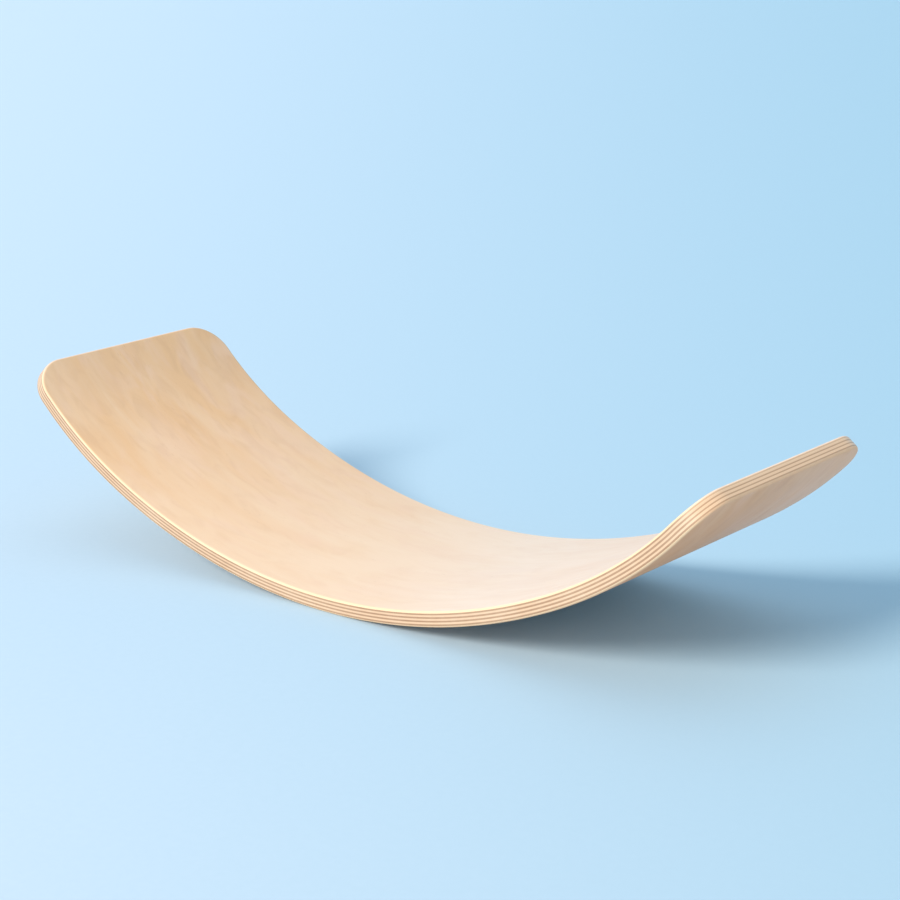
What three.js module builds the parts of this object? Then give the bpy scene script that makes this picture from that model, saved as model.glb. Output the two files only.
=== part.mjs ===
// Curved balance board of bent plywood, lying with its hollow side up.
// Millimetres, +Z up. X runs along the board and Y across it.
// The origin is the middle of the strip of the belly that touches the ground.

import * as THREE from "three";

// Flat sheet, measured before it is bent
const SHEET_LENGTH = 1100;
const BOARD_WIDTH = 300;
const CORNER_RADIUS = 44;

// Layers: a face veneer above and below, and a core that starts and ends with a cross veneer
const FACE_VENEER = 2.3;
const LONG_VENEER = 2.2;
const CROSS_VENEER = 1.7;
const LONG_VENEER_COUNT = 3;

// Bend of the middle of the thickness: an even arc, then each tip curls tighter towards its end
const BELLY_RADIUS = 765;
const BELLY_LENGTH = 580;
const TIP_RADIUS = 375;

// Rounding of the upper and lower arrises
const ARRIS_RADIUS = 3.4;

// Fineness of the facets: the number of strips is odd, so that a flat one lies in the middle
const STRAIGHT_STRIPS = 45;
const CORNER_STRIPS = 5;
const ARRIS_STEPS = 3;
const BEND_STEPS = 400;

// Worked out from the sizes above
const CROSS_VENEER_COUNT = LONG_VENEER_COUNT + 1;
const CORE_THICKNESS = LONG_VENEER_COUNT * LONG_VENEER + CROSS_VENEER_COUNT * CROSS_VENEER;
const THICKNESS = CORE_THICKNESS + 2 * FACE_VENEER;
const HALF_LENGTH = SHEET_LENGTH / 2;
const HALF_WIDTH = BOARD_WIDTH / 2;
const HALF_BELLY = BELLY_LENGTH / 2;
const CURL_RATE = (1 / TIP_RADIUS - 1 / BELLY_RADIUS) / (HALF_LENGTH - HALF_BELLY);
const STRIP_COUNT = STRAIGHT_STRIPS + 2 * CORNER_STRIPS;
const MIDDLE_STATION = (STRIP_COUNT - 1) / 2;
const QUARTER_TURN = Math.PI / 2;

const FACE_LOOK = { color: 0xf2dcc3, roughness: 0.42, metalness: 0 };
const LONG_LOOK = { color: 0xf5dcb8, roughness: 0.5, metalness: 0 };
const CROSS_LOOK = { color: 0xcfab80, roughness: 0.58, metalness: 0 };

// Slope of the bent sheet at a distance from its middle, in radians.
function slopeAt(distance) {
  const curled = Math.max(0, distance - HALF_BELLY);
  return distance / BELLY_RADIUS + (CURL_RATE * curled * curled) / 2;
}

// Where a point of the flat sheet's middle layer goes when the sheet is bent.
function bendAt(along) {
  const distance = Math.abs(along);
  const side = Math.sign(along);
  const step = distance / BEND_STEPS;
  let x = 0;
  let z = 0;
  for (let index = 0; index < BEND_STEPS; index += 1) {
    const slope = slopeAt((index + 0.5) * step);
    x += Math.cos(slope) * step;
    z += Math.sin(slope) * step;
  }
  return { x: side * x, z, slope: side * slopeAt(distance) };
}

// How far the outline draws in at a level of the thickness, where an arris is rounded.
function insetAt(level) {
  const depth = Math.min(level, THICKNESS - level, ARRIS_RADIUS);
  const reach = ARRIS_RADIUS - depth;
  return ARRIS_RADIUS - Math.sqrt(ARRIS_RADIUS * ARRIS_RADIUS - reach * reach);
}

// A station is a line across the flat sheet: its distance along and its half width.
function stationAt(index, inset) {
  const cornerRadius = CORNER_RADIUS - inset;
  const straightHalf = HALF_LENGTH - CORNER_RADIUS;
  const fromEnd = Math.min(index, STRIP_COUNT - index);
  if (fromEnd < CORNER_STRIPS) {
    const side = index === fromEnd ? -1 : 1;
    const turn = (QUARTER_TURN * fromEnd) / CORNER_STRIPS;
    const along = side * (straightHalf + cornerRadius * Math.cos(turn));
    return { along, halfWidth: HALF_WIDTH - CORNER_RADIUS + cornerRadius * Math.sin(turn) };
  }
  const share = (2 * (index - CORNER_STRIPS)) / STRAIGHT_STRIPS - 1;
  return { along: straightHalf * share, halfWidth: HALF_WIDTH - inset };
}

// A point of the bent board, in height above the lowest point of the middle layer.
function bentPoint(index, level, sideAcross) {
  const station = stationAt(index, insetAt(level));
  const bend = bendAt(station.along);
  const offset = level - THICKNESS / 2;
  const x = bend.x - offset * Math.sin(bend.slope);
  const z = bend.z + offset * Math.cos(bend.slope);
  return new THREE.Vector3(x, sideAcross * station.halfWidth, z);
}

// Levels of a veneer's rings: its two faces, and the steps of a rounded arris between them.
function levelsBetween(lower, upper) {
  const steps = [];
  for (let index = 1; index <= ARRIS_STEPS; index += 1) {
    const depth = ARRIS_RADIUS * (1 - Math.cos((QUARTER_TURN * index) / ARRIS_STEPS));
    steps.push(depth, THICKNESS - depth);
  }
  const inside = steps.filter((level) => level > lower && level < upper);
  inside.sort((first, second) => first - second);
  return [lower, ...inside, upper];
}

// One veneer: a flat box cut to the rounded outline, then bent over the mould.
function veneerGeometry(lower, upper) {
  const levels = levelsBetween(lower, upper);
  const layers = levels.length - 1;
  const ground = bentPoint(MIDDLE_STATION, 0, 1).z;
  const geometry = new THREE.BoxGeometry(1, 1, 1, STRIP_COUNT, 1, layers);
  const position = geometry.attributes.position;
  for (let vertex = 0; vertex < position.count; vertex += 1) {
    const index = Math.round((position.getX(vertex) + 0.5) * STRIP_COUNT);
    const level = levels[Math.round((position.getZ(vertex) + 0.5) * layers)];
    const point = bentPoint(index, level, Math.sign(position.getY(vertex)));
    position.setXYZ(vertex, point.x, point.y, point.z - ground);
  }
  geometry.computeVertexNormals();
  return geometry;
}

// Lay-up from the top down, so that the numbers count down from the face that is stood on.
function layUp() {
  const layers = [{ name: "top_face_veneer", thickness: FACE_VENEER, look: FACE_LOOK }];
  for (let index = 1; index <= CROSS_VENEER_COUNT; index += 1) {
    layers.push({ name: `cross_veneer_${index}`, thickness: CROSS_VENEER, look: CROSS_LOOK });
    if (index <= LONG_VENEER_COUNT) {
      layers.push({ name: `long_veneer_${index}`, thickness: LONG_VENEER, look: LONG_LOOK });
    }
  }
  layers.push({ name: "bottom_face_veneer", thickness: FACE_VENEER, look: FACE_LOOK });
  return layers;
}

// The whole board, each veneer lying on the one below it.
function balanceBoard() {
  const board = new THREE.Group();
  let upper = THICKNESS;
  for (const layer of layUp()) {
    const lower = upper - layer.thickness;
    const veneer = new THREE.Mesh(
      veneerGeometry(lower, upper),
      new THREE.MeshStandardMaterial(layer.look),
    );
    veneer.name = layer.name;
    board.add(veneer);
    upper = lower;
  }
  return board;
}

const group = balanceBoard();

export default group;
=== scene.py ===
"""The looks of the curved balance board: nine bent veneers of birch, on a blue floor in soft daylight.
Lengths are in metres. X runs along the board, Y across it, and Z is up."""

import math

import bmesh
import bpy
from mathutils import Matrix, Vector


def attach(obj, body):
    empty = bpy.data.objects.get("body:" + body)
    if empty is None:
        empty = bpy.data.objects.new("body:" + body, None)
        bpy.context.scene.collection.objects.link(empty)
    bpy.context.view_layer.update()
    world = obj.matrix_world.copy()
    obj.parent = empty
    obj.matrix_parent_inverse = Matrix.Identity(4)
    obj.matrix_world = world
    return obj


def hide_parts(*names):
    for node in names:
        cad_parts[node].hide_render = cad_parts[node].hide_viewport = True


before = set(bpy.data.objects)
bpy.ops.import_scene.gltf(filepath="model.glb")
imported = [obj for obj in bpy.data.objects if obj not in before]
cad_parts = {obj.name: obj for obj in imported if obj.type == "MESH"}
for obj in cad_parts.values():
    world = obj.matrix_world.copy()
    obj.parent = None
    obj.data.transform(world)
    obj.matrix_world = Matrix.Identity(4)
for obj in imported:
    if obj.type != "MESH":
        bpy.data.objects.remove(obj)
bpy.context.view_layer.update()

MM = 0.001

# Flat sheet before it is bent. It is 0.4 mm shorter than the CAD sheet, which bends in facets: a smooth bend
# of the full length would stand out of the CAD box at the tips.
SHEET_LENGTH = 1099.6 * MM
BOARD_WIDTH = 300 * MM
CORNER_RADIUS = 44 * MM
ARRIS_RADIUS = 3.4 * MM

# Veneers
FACE_VENEER = 2.3 * MM
LONG_VENEER = 2.2 * MM
CROSS_VENEER = 1.7 * MM
LONG_VENEER_COUNT = 3
CROSS_VENEER_COUNT = LONG_VENEER_COUNT + 1
THICKNESS = 2 * FACE_VENEER + LONG_VENEER_COUNT * LONG_VENEER + CROSS_VENEER_COUNT * CROSS_VENEER

# Bend of the middle of the thickness
BELLY_RADIUS = 765 * MM
BELLY_LENGTH = 580 * MM
TIP_RADIUS = 375 * MM

# Fineness of the bent sheet. A hair is the difference below which two heights count as one.
STRIP = 6 * MM
CORNER_SEGMENTS = 20
ARRIS_SEGMENTS = 6
MOULD_STEP = 2 * MM
MOULD_STEPS = 285
SMOOTH_ANGLE = math.radians(32)
HAIR = 0.1 * MM

# Camera, matched to the outline of the board in the photograph
VIEW_TURN = math.radians(41.094)
VIEW_RISE = math.radians(17.2521)
VIEW_DISTANCE = 2321.85 * MM
VIEW_SLIDE = (-59.957 * MM, -81.872 * MM)
FOCAL_PIXELS = 2024.35
PICTURE_PIXELS = 900
SENSOR = 36
AIM_HEIGHT = 60 * MM
CAMERA_REACH = 100

# The board is slightly tipped in the photograph: how far, and the height of the line it is tipped about
BOARD_TILT = math.radians(-2.6325)
TILT_HEIGHT = 600 * MM

# Wood colours, as linear red, green and blue
# One end of the face is whiter, partly from the wood and partly as a painted sheen
WHITE_BIRCH_AND_SHEEN = (0.98, 0.75, 0.56)
PALE_BIRCH = (0.90, 0.68, 0.48)
WARM_BIRCH = (0.835, 0.525, 0.28)
PINK_BIRCH = (0.87, 0.60, 0.44)
BIRCH_SHADE = (0.64, 0.37, 0.20)
FLECK_BROWN = (0.42, 0.22, 0.105)
# Cut long sides of the face veneers, pale partly from the wood and partly as a painted highlight along the
# rounded arris
CUT_BIRCH_AND_HIGHLIGHT = (0.92, 0.72, 0.46)
# Cut ends of the upper face veneer, pale partly from the wood and partly as a painted highlight along the
# top rim
END_BIRCH_AND_RIM_HIGHLIGHT = (0.92, 0.73, 0.56)
# Cut ends of the lower face veneer, painted warmer to cancel the blue sky light that falls on the lower
# arris there
UNDER_BIRCH_PAINTED_WARM = (0.93, 0.59, 0.34)

# How far the grain of the face wavers, and where along the board it turns from warm to pale and on to white,
# the white end partly paler wood and partly a painted sheen
GRAIN_WAVER = 16 * MM
WARM_TO_PALE = (-0.52, 0.02)
PALE_TO_WHITE_AND_SHEEN = (-0.12, 0.38)

# Depths in from the lower and the upper face between which the lacquered face turns to the sanded edge
SANDED_FROM_BELOW = (0.05 * MM, 0.7 * MM)
SANDED_FROM_ABOVE = (0.1 * MM, 0.9 * MM)

# Distances from the tip, as shares of the corner radius, between which a long side turns to an end
CORNER_FROM = 0.75
CORNER_TO = 0.1

# Core colours at the long sides and at the ends: a pale and a dark one for each way of the grain
LONG_AT_SIDE = ((0.80, 0.62, 0.43), (0.73, 0.51, 0.32))
LONG_AT_END = ((0.88, 0.64, 0.42), (0.81, 0.54, 0.33))
CROSS_AT_SIDE = ((0.52, 0.345, 0.22), (0.38, 0.22, 0.125))
CROSS_AT_END = ((0.76, 0.50, 0.31), (0.48, 0.27, 0.145))
PORE_BROWN = (0.40, 0.24, 0.13)
GLUE_BROWN = (0.36, 0.22, 0.13)

# The top of the core is paler at the ends: the heights in the flat sheet between which that sets in, and how
# much of the dark colour it takes away
PALER_HEIGHTS = (12 * MM, 14 * MM)
PALER_SHARE = 0.65

# Floor, and the grey card below it
FLOOR_RADIUS = 30
FLOOR_SIDES = 96
CARD_DEPTH = 1 * MM
CARD_GREY = (0.54, 0.55, 0.59)

# The floor fades from light to deep blue across the picture, a painted fall-off of the studio light. The
# fade opens like a fan from a point on the camera's side of the board: the way it faces, how far off the
# point is, how soft the fan is around it, and where in the fan the fade starts and ends.
LIGHT_BLUE = (0.601, 0.758, 0.911)
DEEP_BLUE = (0.338, 0.572, 0.736)
FADE_TURN = math.radians(41)
FADE_DISTANCE = 3.6
FADE_SOFTNESS = 1.5
FADE_FROM = -0.325
FADE_TO = 0.31

# Near the camera the floor is painted lighter and warmer, as painted light: by how much, and the distances
# from the point of the fan between which that ends
NEAR_LIFT = (1.09, 1.035, 1.01)
NEAR_FROM = 2.8
NEAR_TO = 3.8

# Sky, bluer and brighter near the horizon, and how high up it has turned to the colour of the zenith
HORIZON_COLOUR = (0.85, 1.65, 2.3)
ZENITH_COLOUR = (0.801, 0.917, 1.017)
HORIZON_REACH = 0.6
SKY_STRENGTH = 0.57

# Lamps: a broad one from the front left and a weak one above, each with the way from the board to it and
# how wide it looks from there
KEY_COLOUR = (1.12, 0.965, 0.84)
KEY_STRENGTH = 2.75
KEY_WAY = (-0.25, -1.35, 1)
KEY_WIDTH = math.radians(24)
TOP_COLOUR = (1.05, 1, 0.95)
TOP_STRENGTH = 0.36
TOP_WAY = (-0.1, 0.25, 1)
TOP_WIDTH = math.radians(60)


class Amount:
    """A value that varies over a surface, for arithmetic written out plainly."""

    def __init__(self, finish, socket):
        self.finish = finish
        self.socket = socket

    def work_out(self, operation, first, second):
        return self.finish.node("ShaderNodeMath", {"operation": operation}, {0: first, 1: second})

    def __add__(self, other):
        return self.work_out("ADD", self, other)

    def __radd__(self, other):
        return self.work_out("ADD", other, self)

    def __sub__(self, other):
        return self.work_out("SUBTRACT", self, other)

    def __rsub__(self, other):
        return self.work_out("SUBTRACT", other, self)

    def __mul__(self, other):
        return self.work_out("MULTIPLY", self, other)

    def __rmul__(self, other):
        return self.work_out("MULTIPLY", other, self)

    def __truediv__(self, other):
        return self.work_out("DIVIDE", self, other)


class Finish:
    """The finish of a surface or of the sky, and the ways to build up what varies over it."""

    def __init__(self, name, store=bpy.data.materials):
        self.owner = store.new(name)
        self.owner.use_nodes = True
        self.tree = self.owner.node_tree
        self.tree.nodes.clear()

    def node(self, kind, settings, values, output=0):
        """Adds a node, with its settings first and then the values or links of its sockets."""
        node = self.tree.nodes.new(kind)
        for name, value in settings.items():
            setattr(node, name, value)
        for name, value in values.items():
            if isinstance(value, Amount):
                self.tree.links.new(value.socket, node.inputs[name])
            else:
                node.inputs[name].default_value = value
        return Amount(self, node.outputs[output])

    def attribute(self, name, output):
        """A value kept on the points of the piece."""
        return self.node("ShaderNodeAttribute", {"attribute_name": name}, {}, output)

    def part(self, place, axis):
        """One coordinate of a place."""
        return self.node("ShaderNodeSeparateXYZ", {}, {"Vector": place}, axis)

    def shifted(self, place, x=0, y=0, z=0):
        """A place moved by amounts that may vary."""
        move = self.node("ShaderNodeCombineXYZ", {}, {"X": x, "Y": y, "Z": z})
        return self.node("ShaderNodeVectorMath", {"operation": "ADD"}, {0: place, 1: move})

    def clouds(self, place, size, detail=3, rough=0.55, swirl=0):
        """Soft random patches of about the given size in millimetres, from 0 to 1."""
        share = tuple(1 / (length * MM) for length in size)
        spread = self.node("ShaderNodeVectorMath", {"operation": "MULTIPLY"}, {0: place, 1: share})
        values = {"Vector": spread, "Scale": 1, "Detail": detail, "Roughness": rough, "Distortion": swirl}
        return self.node("ShaderNodeTexNoise", {}, values)

    def step(self, amount, low, high):
        """Rises smoothly from 0 to 1 between two levels."""
        settings = {"interpolation_type": "SMOOTHSTEP"}
        values = {"Value": amount, "From Min": low, "From Max": high}
        return self.node("ShaderNodeMapRange", settings, values)

    def mix(self, factor, first, second):
        """The first colour, turning to the second as the factor goes from 0 to 1."""
        # The colour sockets share their names with others, so they go by number: 6 and 7 in, and 2 out
        settings = {"data_type": "RGBA", "clamp_factor": True}
        colours = {0: factor}
        for index, colour in ((6, first), (7, second)):
            colours[index] = colour if isinstance(colour, Amount) else (*colour, 1)
        return self.node("ShaderNodeMix", settings, colours, 2)

    def near_end(self, flat):
        """How much of a cut edge lies on an end of the sheet rather than on a long side, from 0 to 1."""
        along = self.node("ShaderNodeMath", {"operation": "ABSOLUTE"}, {0: self.part(flat, "X")})
        tip = SHEET_LENGTH / 2
        return self.step(along, tip - CORNER_FROM * CORNER_RADIUS, tip - CORNER_TO * CORNER_RADIUS)

    def finish(self, shader, output_kind="ShaderNodeOutputMaterial"):
        """Joins the shader to what the finish belongs to, and hands that over."""
        output = self.tree.nodes.new(output_kind)
        self.tree.links.new(shader.socket, output.inputs["Surface"])
        return self.owner


def deselect_all():
    """Leaves edit mode, with nothing selected."""
    if bpy.context.mode != "OBJECT":
        bpy.ops.object.mode_set(mode="OBJECT")
    bpy.ops.object.select_all(action="DESELECT")


def take(piece):
    """Makes one piece the selected and active one."""
    deselect_all()
    piece.select_set(True)
    bpy.context.view_layer.objects.active = piece


def edit_all(piece):
    """Opens a piece for editing with all of it selected."""
    take(piece)
    bpy.ops.object.mode_set(mode="EDIT")
    bpy.ops.mesh.select_mode(type="EDGE")
    bpy.ops.mesh.select_all(action="SELECT")


def select_edges(piece, wanted):
    """Selects the edges whose two ends pass a test, while the piece is open for editing."""
    bpy.ops.mesh.select_all(action="DESELECT")
    mesh = bmesh.from_edit_mesh(piece.data)
    for edge in mesh.edges:
        if wanted(edge.verts[0].co, edge.verts[1].co):
            edge.select_set(True)
    bmesh.update_edit_mesh(piece.data)


def flat_blank():
    """The flat sheet with rounded corners and arrises, its belly side at height 0."""
    deselect_all()
    bpy.ops.mesh.primitive_cube_add(size=1, location=(0, 0, THICKNESS / 2))
    blank = bpy.context.object
    blank.scale = (SHEET_LENGTH, BOARD_WIDTH, THICKNESS)
    bpy.ops.object.transform_apply(location=True, rotation=True, scale=True)
    edit_all(blank)
    select_edges(blank, lambda a, b: abs(a.z - b.z) > THICKNESS / 2)
    bpy.ops.mesh.bevel(offset=CORNER_RADIUS, segments=CORNER_SEGMENTS, affect="EDGES")
    select_edges(blank, lambda a, b: abs(a.z - b.z) < HAIR)
    bpy.ops.mesh.bevel(offset=ARRIS_RADIUS, segments=ARRIS_SEGMENTS, affect="EDGES")
    bpy.ops.object.mode_set(mode="OBJECT")
    return blank


def slice_veneer(blank, name, lower, upper):
    """A copy of the sheet, cut down to what lies between two levels and then into strips that can bend.
    The number of strips is odd, so that one lies in the middle."""
    veneer = blank.copy()
    veneer.data = blank.data.copy()
    veneer.name = name
    veneer.data.name = name
    bpy.context.collection.objects.link(veneer)
    edit_all(veneer)
    if lower > HAIR:
        bpy.ops.mesh.bisect(plane_co=(0, 0, lower), plane_no=(0, 0, 1), use_fill=True, clear_inner=True)
    if upper < THICKNESS - HAIR:
        bpy.ops.mesh.select_all(action="SELECT")
        bpy.ops.mesh.bisect(plane_co=(0, 0, upper), plane_no=(0, 0, 1), use_fill=True, clear_outer=True)
    strips = 2 * round(SHEET_LENGTH / STRIP / 2) + 1
    for index in range(1, strips):
        along = SHEET_LENGTH * (index / strips - 0.5)
        bpy.ops.mesh.select_all(action="SELECT")
        bpy.ops.mesh.bisect(plane_co=(along, 0, 0), plane_no=(1, 0, 0))
    bpy.ops.object.mode_set(mode="OBJECT")
    return veneer


def keep_flat_places(veneer, turned):
    """Keeps where each point lay in the flat sheet, which the grain follows.
    A turned veneer comes from further across the same wood and is laid end for end."""
    flat = veneer.data.attributes.new("flat", "FLOAT_VECTOR", "POINT")
    for point, value in zip(veneer.data.vertices, flat.data):
        x, y, z = point.co
        value.vector = (-x, y + 2 * BOARD_WIDTH, z) if turned else point.co


def keep_rise(veneer, lower, upper):
    """Keeps how far up its own veneer each point lies, from 0 to 1."""
    rise = veneer.data.attributes.new("rise", "FLOAT", "POINT")
    for point, value in zip(veneer.data.vertices, rise.data):
        value.value = (point.co.z - lower) / (upper - lower)


def slope_at(distance):
    """Slope of the bent sheet at a distance from its middle."""
    rate = (1 / TIP_RADIUS - 1 / BELLY_RADIUS) / (SHEET_LENGTH / 2 - BELLY_LENGTH / 2)
    curled = max(0, distance - BELLY_LENGTH / 2)
    return distance / BELLY_RADIUS + rate * curled**2 / 2


def mould_curve():
    """The line that the middle of the thickness is bent to, a little longer than the sheet."""
    half = [Vector((0, 0, THICKNESS / 2))]
    for index in range(MOULD_STEPS):
        slope = slope_at((index + 0.5) * MOULD_STEP)
        half.append(half[-1] + MOULD_STEP * Vector((math.cos(slope), 0, math.sin(slope))))
    points = [Vector((-point.x, 0, point.z)) for point in reversed(half[1:])] + half
    curve = bpy.data.curves.new("mould", "CURVE")
    curve.dimensions = "3D"
    curve.twist_mode = "Z_UP"
    spline = curve.splines.new("POLY")
    spline.points.add(len(points) - 1)
    for place, point in zip(spline.points, points):
        place.co = (*point, 1)
    mould = bpy.data.objects.new("mould", curve)
    bpy.context.collection.objects.link(mould)
    return mould


def bend_over(veneer, mould):
    """Bends a flat veneer over the mould, with its middle at the middle of the mould."""
    take(veneer)
    veneer.data.transform(Matrix.Translation((MOULD_STEPS * MOULD_STEP, 0, -THICKNESS / 2)))
    bend = veneer.modifiers.new("bend", "CURVE")
    bend.object = mould
    bend.deform_axis = "POS_X"
    bpy.ops.object.modifier_apply(modifier=bend.name)
    bpy.ops.object.shade_smooth_by_angle(angle=SMOOTH_ANGLE)


def place_camera():
    """The photograph's camera. The board lies level here, so the camera leans instead."""
    turn, rise = VIEW_TURN, VIEW_RISE
    back = Vector((math.sin(turn) * math.cos(rise), -math.cos(turn) * math.cos(rise), math.sin(rise)))
    right = Vector((math.cos(turn), math.sin(turn), 0))
    up = back.cross(right)
    aim = Vector((0, 0, AIM_HEIGHT))
    place = aim + back * VIEW_DISTANCE - right * VIEW_SLIDE[0] - up * VIEW_SLIDE[1]
    pivot = Vector((0, 0, TILT_HEIGHT))
    untilt = Matrix.Rotation(-BOARD_TILT, 4, "Y")
    pose = Matrix((right, up, back)).transposed().to_4x4()
    pose.translation = place
    pose = Matrix.Translation(pivot) @ untilt @ Matrix.Translation(-pivot) @ pose
    camera = bpy.data.cameras.new("camera")
    camera.sensor_width = SENSOR
    camera.lens = FOCAL_PIXELS / PICTURE_PIXELS * SENSOR
    camera.clip_end = CAMERA_REACH
    holder = bpy.data.objects.new("camera", camera)
    holder.matrix_world = pose
    bpy.context.collection.objects.link(holder)
    bpy.context.scene.camera = holder


def birch_face():
    """The face veneer: pale and softly mottled, warmer towards one end and whiter towards the other, where
    it also carries a painted sheen, with a sanded edge whose colour carries painted highlights.
    """
    wood = Finish("birch_face")
    flat = wood.attribute("flat", "Vector")

    # The figure, from clouds of different sizes that are drawn out along the grain
    waver = wood.clouds(flat, (260, 90, 60), 2)
    bent = wood.shifted(flat, y=(waver - 0.5) * GRAIN_WAVER)
    streaks = wood.clouds(bent, (420, 9, 9), 3, 0.5)
    bands = wood.clouds(bent, (150, 40, 40), 2, 0.5, 0.6)
    fibres = wood.clouds(bent, (40, 0.7, 0.7), 3)
    blush = wood.clouds(bent, (80, 30, 30), 2, 0.5, 0.8)
    feather = wood.clouds(bent, (52, 22, 20), 2, 0.45, 1.2)
    veins = wood.clouds(bent, (30, 6, 8), 3, 0.5, 2.2)
    smoke = wood.clouds(flat, (120, 70, 60), 3, 0.5, 0.6)
    dash = wood.clouds(bent, (9, 1.3, 1.3), 2, 0.5)
    rare = wood.clouds(flat, (45, 30, 30), 2)

    # The ground colour from end to end, with an uneven border between warm, pale and white; the white end is
    # partly paler wood and partly a painted sheen
    along = wood.part(flat, "X") + (smoke - 0.5) * 0.25
    warm_end = 1 - wood.step(along, *WARM_TO_PALE)
    white_end_and_sheen = wood.step(along, *PALE_TO_WHITE_AND_SHEEN)
    tone = (streaks - 0.5) * 0.22 + (bands - 0.5) * (0.65 + warm_end * 0.55)
    ground = wood.mix(white_end_and_sheen, PALE_BIRCH, WHITE_BIRCH_AND_SHEEN)
    colour = wood.mix(tone + warm_end * 0.9, ground, WARM_BIRCH)

    # Blush, mottle, veins, smoke, flecks and fibres over it, most of them stronger at the warm end
    colour = wood.mix(wood.step(blush, 0.44, 0.7) * (0.2 + warm_end * 0.2), colour, PINK_BIRCH)
    mottle = wood.step(feather, 0.44, 0.74) * (0.06 + warm_end * 0.17)
    colour = wood.mix(mottle, colour, BIRCH_SHADE)
    vein = wood.step(veins, 0.57, 0.62) * (1 - wood.step(veins, 0.62, 0.66))
    colour = wood.mix(vein * (0.035 + warm_end * 0.035), colour, BIRCH_SHADE)
    smoky = wood.step(smoke, 0.52, 0.75) * warm_end * 0.15
    colour = wood.mix(smoky, colour, BIRCH_SHADE)
    flecks = wood.step(dash, 0.66, 0.74) * wood.step(rare, 0.5, 0.62)
    colour = wood.mix(flecks * 0.22, colour, FLECK_BROWN)
    colour = wood.mix((fibres - 0.42) * 0.05, colour, BIRCH_SHADE)

    # The cut edge, which was sanded and has less lacquer. Its colour is partly the cut wood and partly
    # painted light:
    # a painted highlight along the arrises of the long sides and the top rim of the ends, and a painted warm
    # tint against the blue sky light on the lower rim of the ends.
    level = wood.part(flat, "Z")
    at_end = wood.mix(wood.step(level, 0.4 * THICKNESS, 0.6 * THICKNESS), UNDER_BIRCH_PAINTED_WARM, END_BIRCH_AND_RIM_HIGHLIGHT)
    edge = wood.mix(wood.near_end(flat), CUT_BIRCH_AND_HIGHLIGHT, at_end)
    edge = wood.mix((streaks - 0.4) * 0.5, edge, BIRCH_SHADE)
    sanded = wood.step(level, *SANDED_FROM_BELOW) * wood.step(THICKNESS - level, *SANDED_FROM_ABOVE)
    colour = wood.mix(sanded, colour, edge)

    relief = fibres * 0.6 + dash * 0.4
    bump = wood.node("ShaderNodeBump", {}, {"Strength": 0.2, "Distance": 0.05 * MM, "Height": relief})
    lacquered = {
        "Base Color": colour,
        "Roughness": 0.38 + (fibres - 0.5) * 0.2 + (feather - 0.5) * 0.12 + sanded * 0.16,
        "Normal": bump,
        "Coat Weight": 0.22 - sanded * 0.2,
        "Coat Roughness": 0.22,
    }
    return wood.finish(wood.node("ShaderNodeBsdfPrincipled", {}, lacquered))


def core_edge(name, grain, at_side, at_end, stain):
    """A core veneer, which shows only at the edge: fibres or pores by the way that its grain runs,
    and a thin line of glue along each of its faces."""
    wood = Finish(name)
    flat = wood.attribute("flat", "Vector")
    rise = wood.attribute("rise", "Fac")
    fibres = wood.clouds(flat, grain, 4, 0.6)
    patches = wood.clouds(flat, (60, 60, 60), 3)
    blotches = wood.clouds(flat, (9, 9, 3), 3, 0.6)
    tone = (patches - 0.5) * 1.3 + (blotches - 0.5) + 0.4
    side = wood.mix(tone, *at_side)

    # How deep inside the veneer, from 0 at either face to 0.5 in its middle, where the ends are darkest
    depth = wood.node("ShaderNodeMath", {"operation": "PINGPONG"}, {0: rise, 1: 0.5})
    darkness = 1 - wood.step(wood.part(flat, "Z"), *PALER_HEIGHTS) * PALER_SHARE
    end = wood.mix((wood.step(depth, 0.12, 0.45) + tone * 0.3) * darkness, *at_end)
    colour = wood.mix(wood.near_end(flat), side, end)
    pores = wood.step(fibres, 0.56, 0.72)
    colour = wood.mix(pores * stain, colour, PORE_BROWN)
    line = 1 - wood.step(depth + (blotches - 0.5) * 0.1, 0.03, 0.1)
    colour = wood.mix(line * 0.4, colour, GLUE_BROWN)
    relief = fibres * 0.8 + (1 - line) * 0.5
    bump = wood.node("ShaderNodeBump", {}, {"Strength": 0.35, "Distance": 0.12 * MM, "Height": relief})
    sanded = {
        "Base Color": colour,
        "Roughness": 0.46 + (fibres - 0.5) * 0.3,
        "Normal": bump,
        "Coat Weight": 0.15,
        "Coat Roughness": 0.3,
    }
    return wood.finish(wood.node("ShaderNodeBsdfPrincipled", {}, sanded))


def plain_paper(name, near, far):
    """Matt paper with a faint tooth, which fades from one colour to another across the stage and grows
    lighter near
    the camera: a painted fall-off of the studio light.
    """
    paper = Finish(name)
    place = paper.node("ShaderNodeTexCoord", {}, {}, "Object")
    x, y = paper.part(place, "X"), paper.part(place, "Y")
    across = x * math.cos(FADE_TURN) + y * math.sin(FADE_TURN)
    away = y * math.cos(FADE_TURN) - x * math.sin(FADE_TURN) + FADE_DISTANCE
    lift = paper.mix(paper.step(away, NEAR_FROM, NEAR_TO), NEAR_LIFT, (1, 1, 1))
    spread = paper.node("ShaderNodeMath", {"operation": "SQRT"}, {0: away * away + FADE_SOFTNESS**2})
    tint = paper.mix(paper.step(across / spread, FADE_FROM, FADE_TO), near, far)
    tint = paper.node("ShaderNodeVectorMath", {"operation": "MULTIPLY"}, {0: tint, 1: lift})
    tooth = paper.clouds(place, (9, 9, 9), 3)
    tint = paper.mix((tooth - 0.5) * 0.12 + 0.06, tint, tuple(0.9 * part for part in far))
    values = {"Base Color": tint, "Roughness": 0.8, "Specular IOR Level": 0.3}
    return paper.finish(paper.node("ShaderNodeBsdfPrincipled", {}, values))


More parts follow.
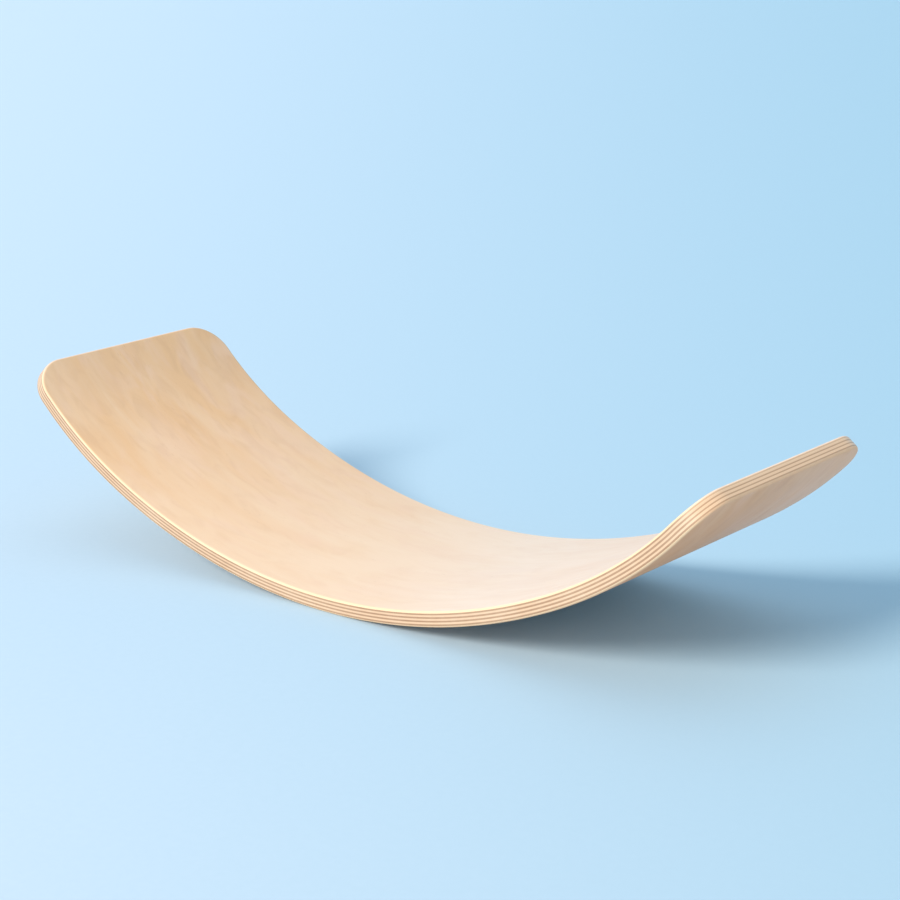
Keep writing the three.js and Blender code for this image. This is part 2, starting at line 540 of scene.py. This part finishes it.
def lay_sheet(name, height, near, far):
    """A wide sheet of the stage, level and far larger than the board."""
    deselect_all()
    bpy.ops.mesh.primitive_circle_add(
        vertices=FLOOR_SIDES,
        radius=FLOOR_RADIUS,
        fill_type="NGON",
        location=(0, 0, height),
    )
    sheet = bpy.context.object
    sheet.name = name
    sheet.data.materials.append(plain_paper(name, near, far))
    return sheet


def lay_floor():
    """The blue floor that shows, and below it a grey card that sends plain light up to the underside."""
    floor = lay_sheet("floor", 0, LIGHT_BLUE, DEEP_BLUE)
    floor.visible_diffuse = False
    floor.visible_glossy = False
    floor.visible_shadow = False
    card = lay_sheet("card", -CARD_DEPTH, CARD_GREY, CARD_GREY)
    card.visible_camera = False


def hang_lamp(name, colour, strength, way, width):
    """A far light that shines from a direction, as wide as the angle given."""
    lamp = bpy.data.lights.new(name, "SUN")
    lamp.color = colour
    lamp.energy = strength
    lamp.angle = width
    holder = bpy.data.objects.new(name, lamp)
    holder.rotation_mode = "QUATERNION"
    holder.rotation_quaternion = Vector(way).to_track_quat("Z", "Y")
    bpy.context.collection.objects.link(holder)


def light_studio():
    """A soft sky, a broad key light from the front left and a weak one above."""
    sky = Finish("studio", bpy.data.worlds)
    way = sky.node("ShaderNodeTexCoord", {}, {}, "Generated")
    climb = sky.step(sky.part(way, "Z"), 0, HORIZON_REACH)
    colour = sky.mix(climb, HORIZON_COLOUR, ZENITH_COLOUR)
    glow = sky.node("ShaderNodeBackground", {}, {"Color": colour, "Strength": SKY_STRENGTH})
    bpy.context.scene.world = sky.finish(glow, "ShaderNodeOutputWorld")
    hang_lamp("key", KEY_COLOUR, KEY_STRENGTH, KEY_WAY, KEY_WIDTH)
    hang_lamp("top", TOP_COLOUR, TOP_STRENGTH, TOP_WAY, TOP_WIDTH)


place_camera()
lay_floor()
light_studio()

birch = birch_face()
long_core = core_edge("long_grain_core", (45, 0.6, 0.6), LONG_AT_SIDE, LONG_AT_END, 0.25)
cross_core = core_edge("cross_grain_core", (0.6, 45, 0.6), CROSS_AT_SIDE, CROSS_AT_END, 0.4)

layers = [("top_face_veneer", FACE_VENEER, "face_veneer", birch)]
for number in range(1, CROSS_VENEER_COUNT + 1):
    layers.append((f"cross_veneer_{number}", CROSS_VENEER, "cross_grain_core", cross_core))
    if number <= LONG_VENEER_COUNT:
        layers.append((f"long_veneer_{number}", LONG_VENEER, "long_grain_core", long_core))
layers.append(("bottom_face_veneer", FACE_VENEER, "face_veneer", birch))

mould = mould_curve()
blank = flat_blank()
upper = THICKNESS
for node, thickness, slot, wood in layers:
    lower = upper - thickness
    veneer = slice_veneer(blank, f"{node}_wood", lower, upper)
    keep_flat_places(veneer, node == "bottom_face_veneer")
    keep_rise(veneer, lower, upper)
    bend_over(veneer, mould)
    veneer.data.materials.clear()
    veneer.data.materials.append(wood)
    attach(veneer, "root")
    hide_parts(node)
    upper = lower
bpy.data.objects.remove(blank)
bpy.data.objects.remove(mould)
bpy.context.scene.view_settings.view_transform = "Standard"
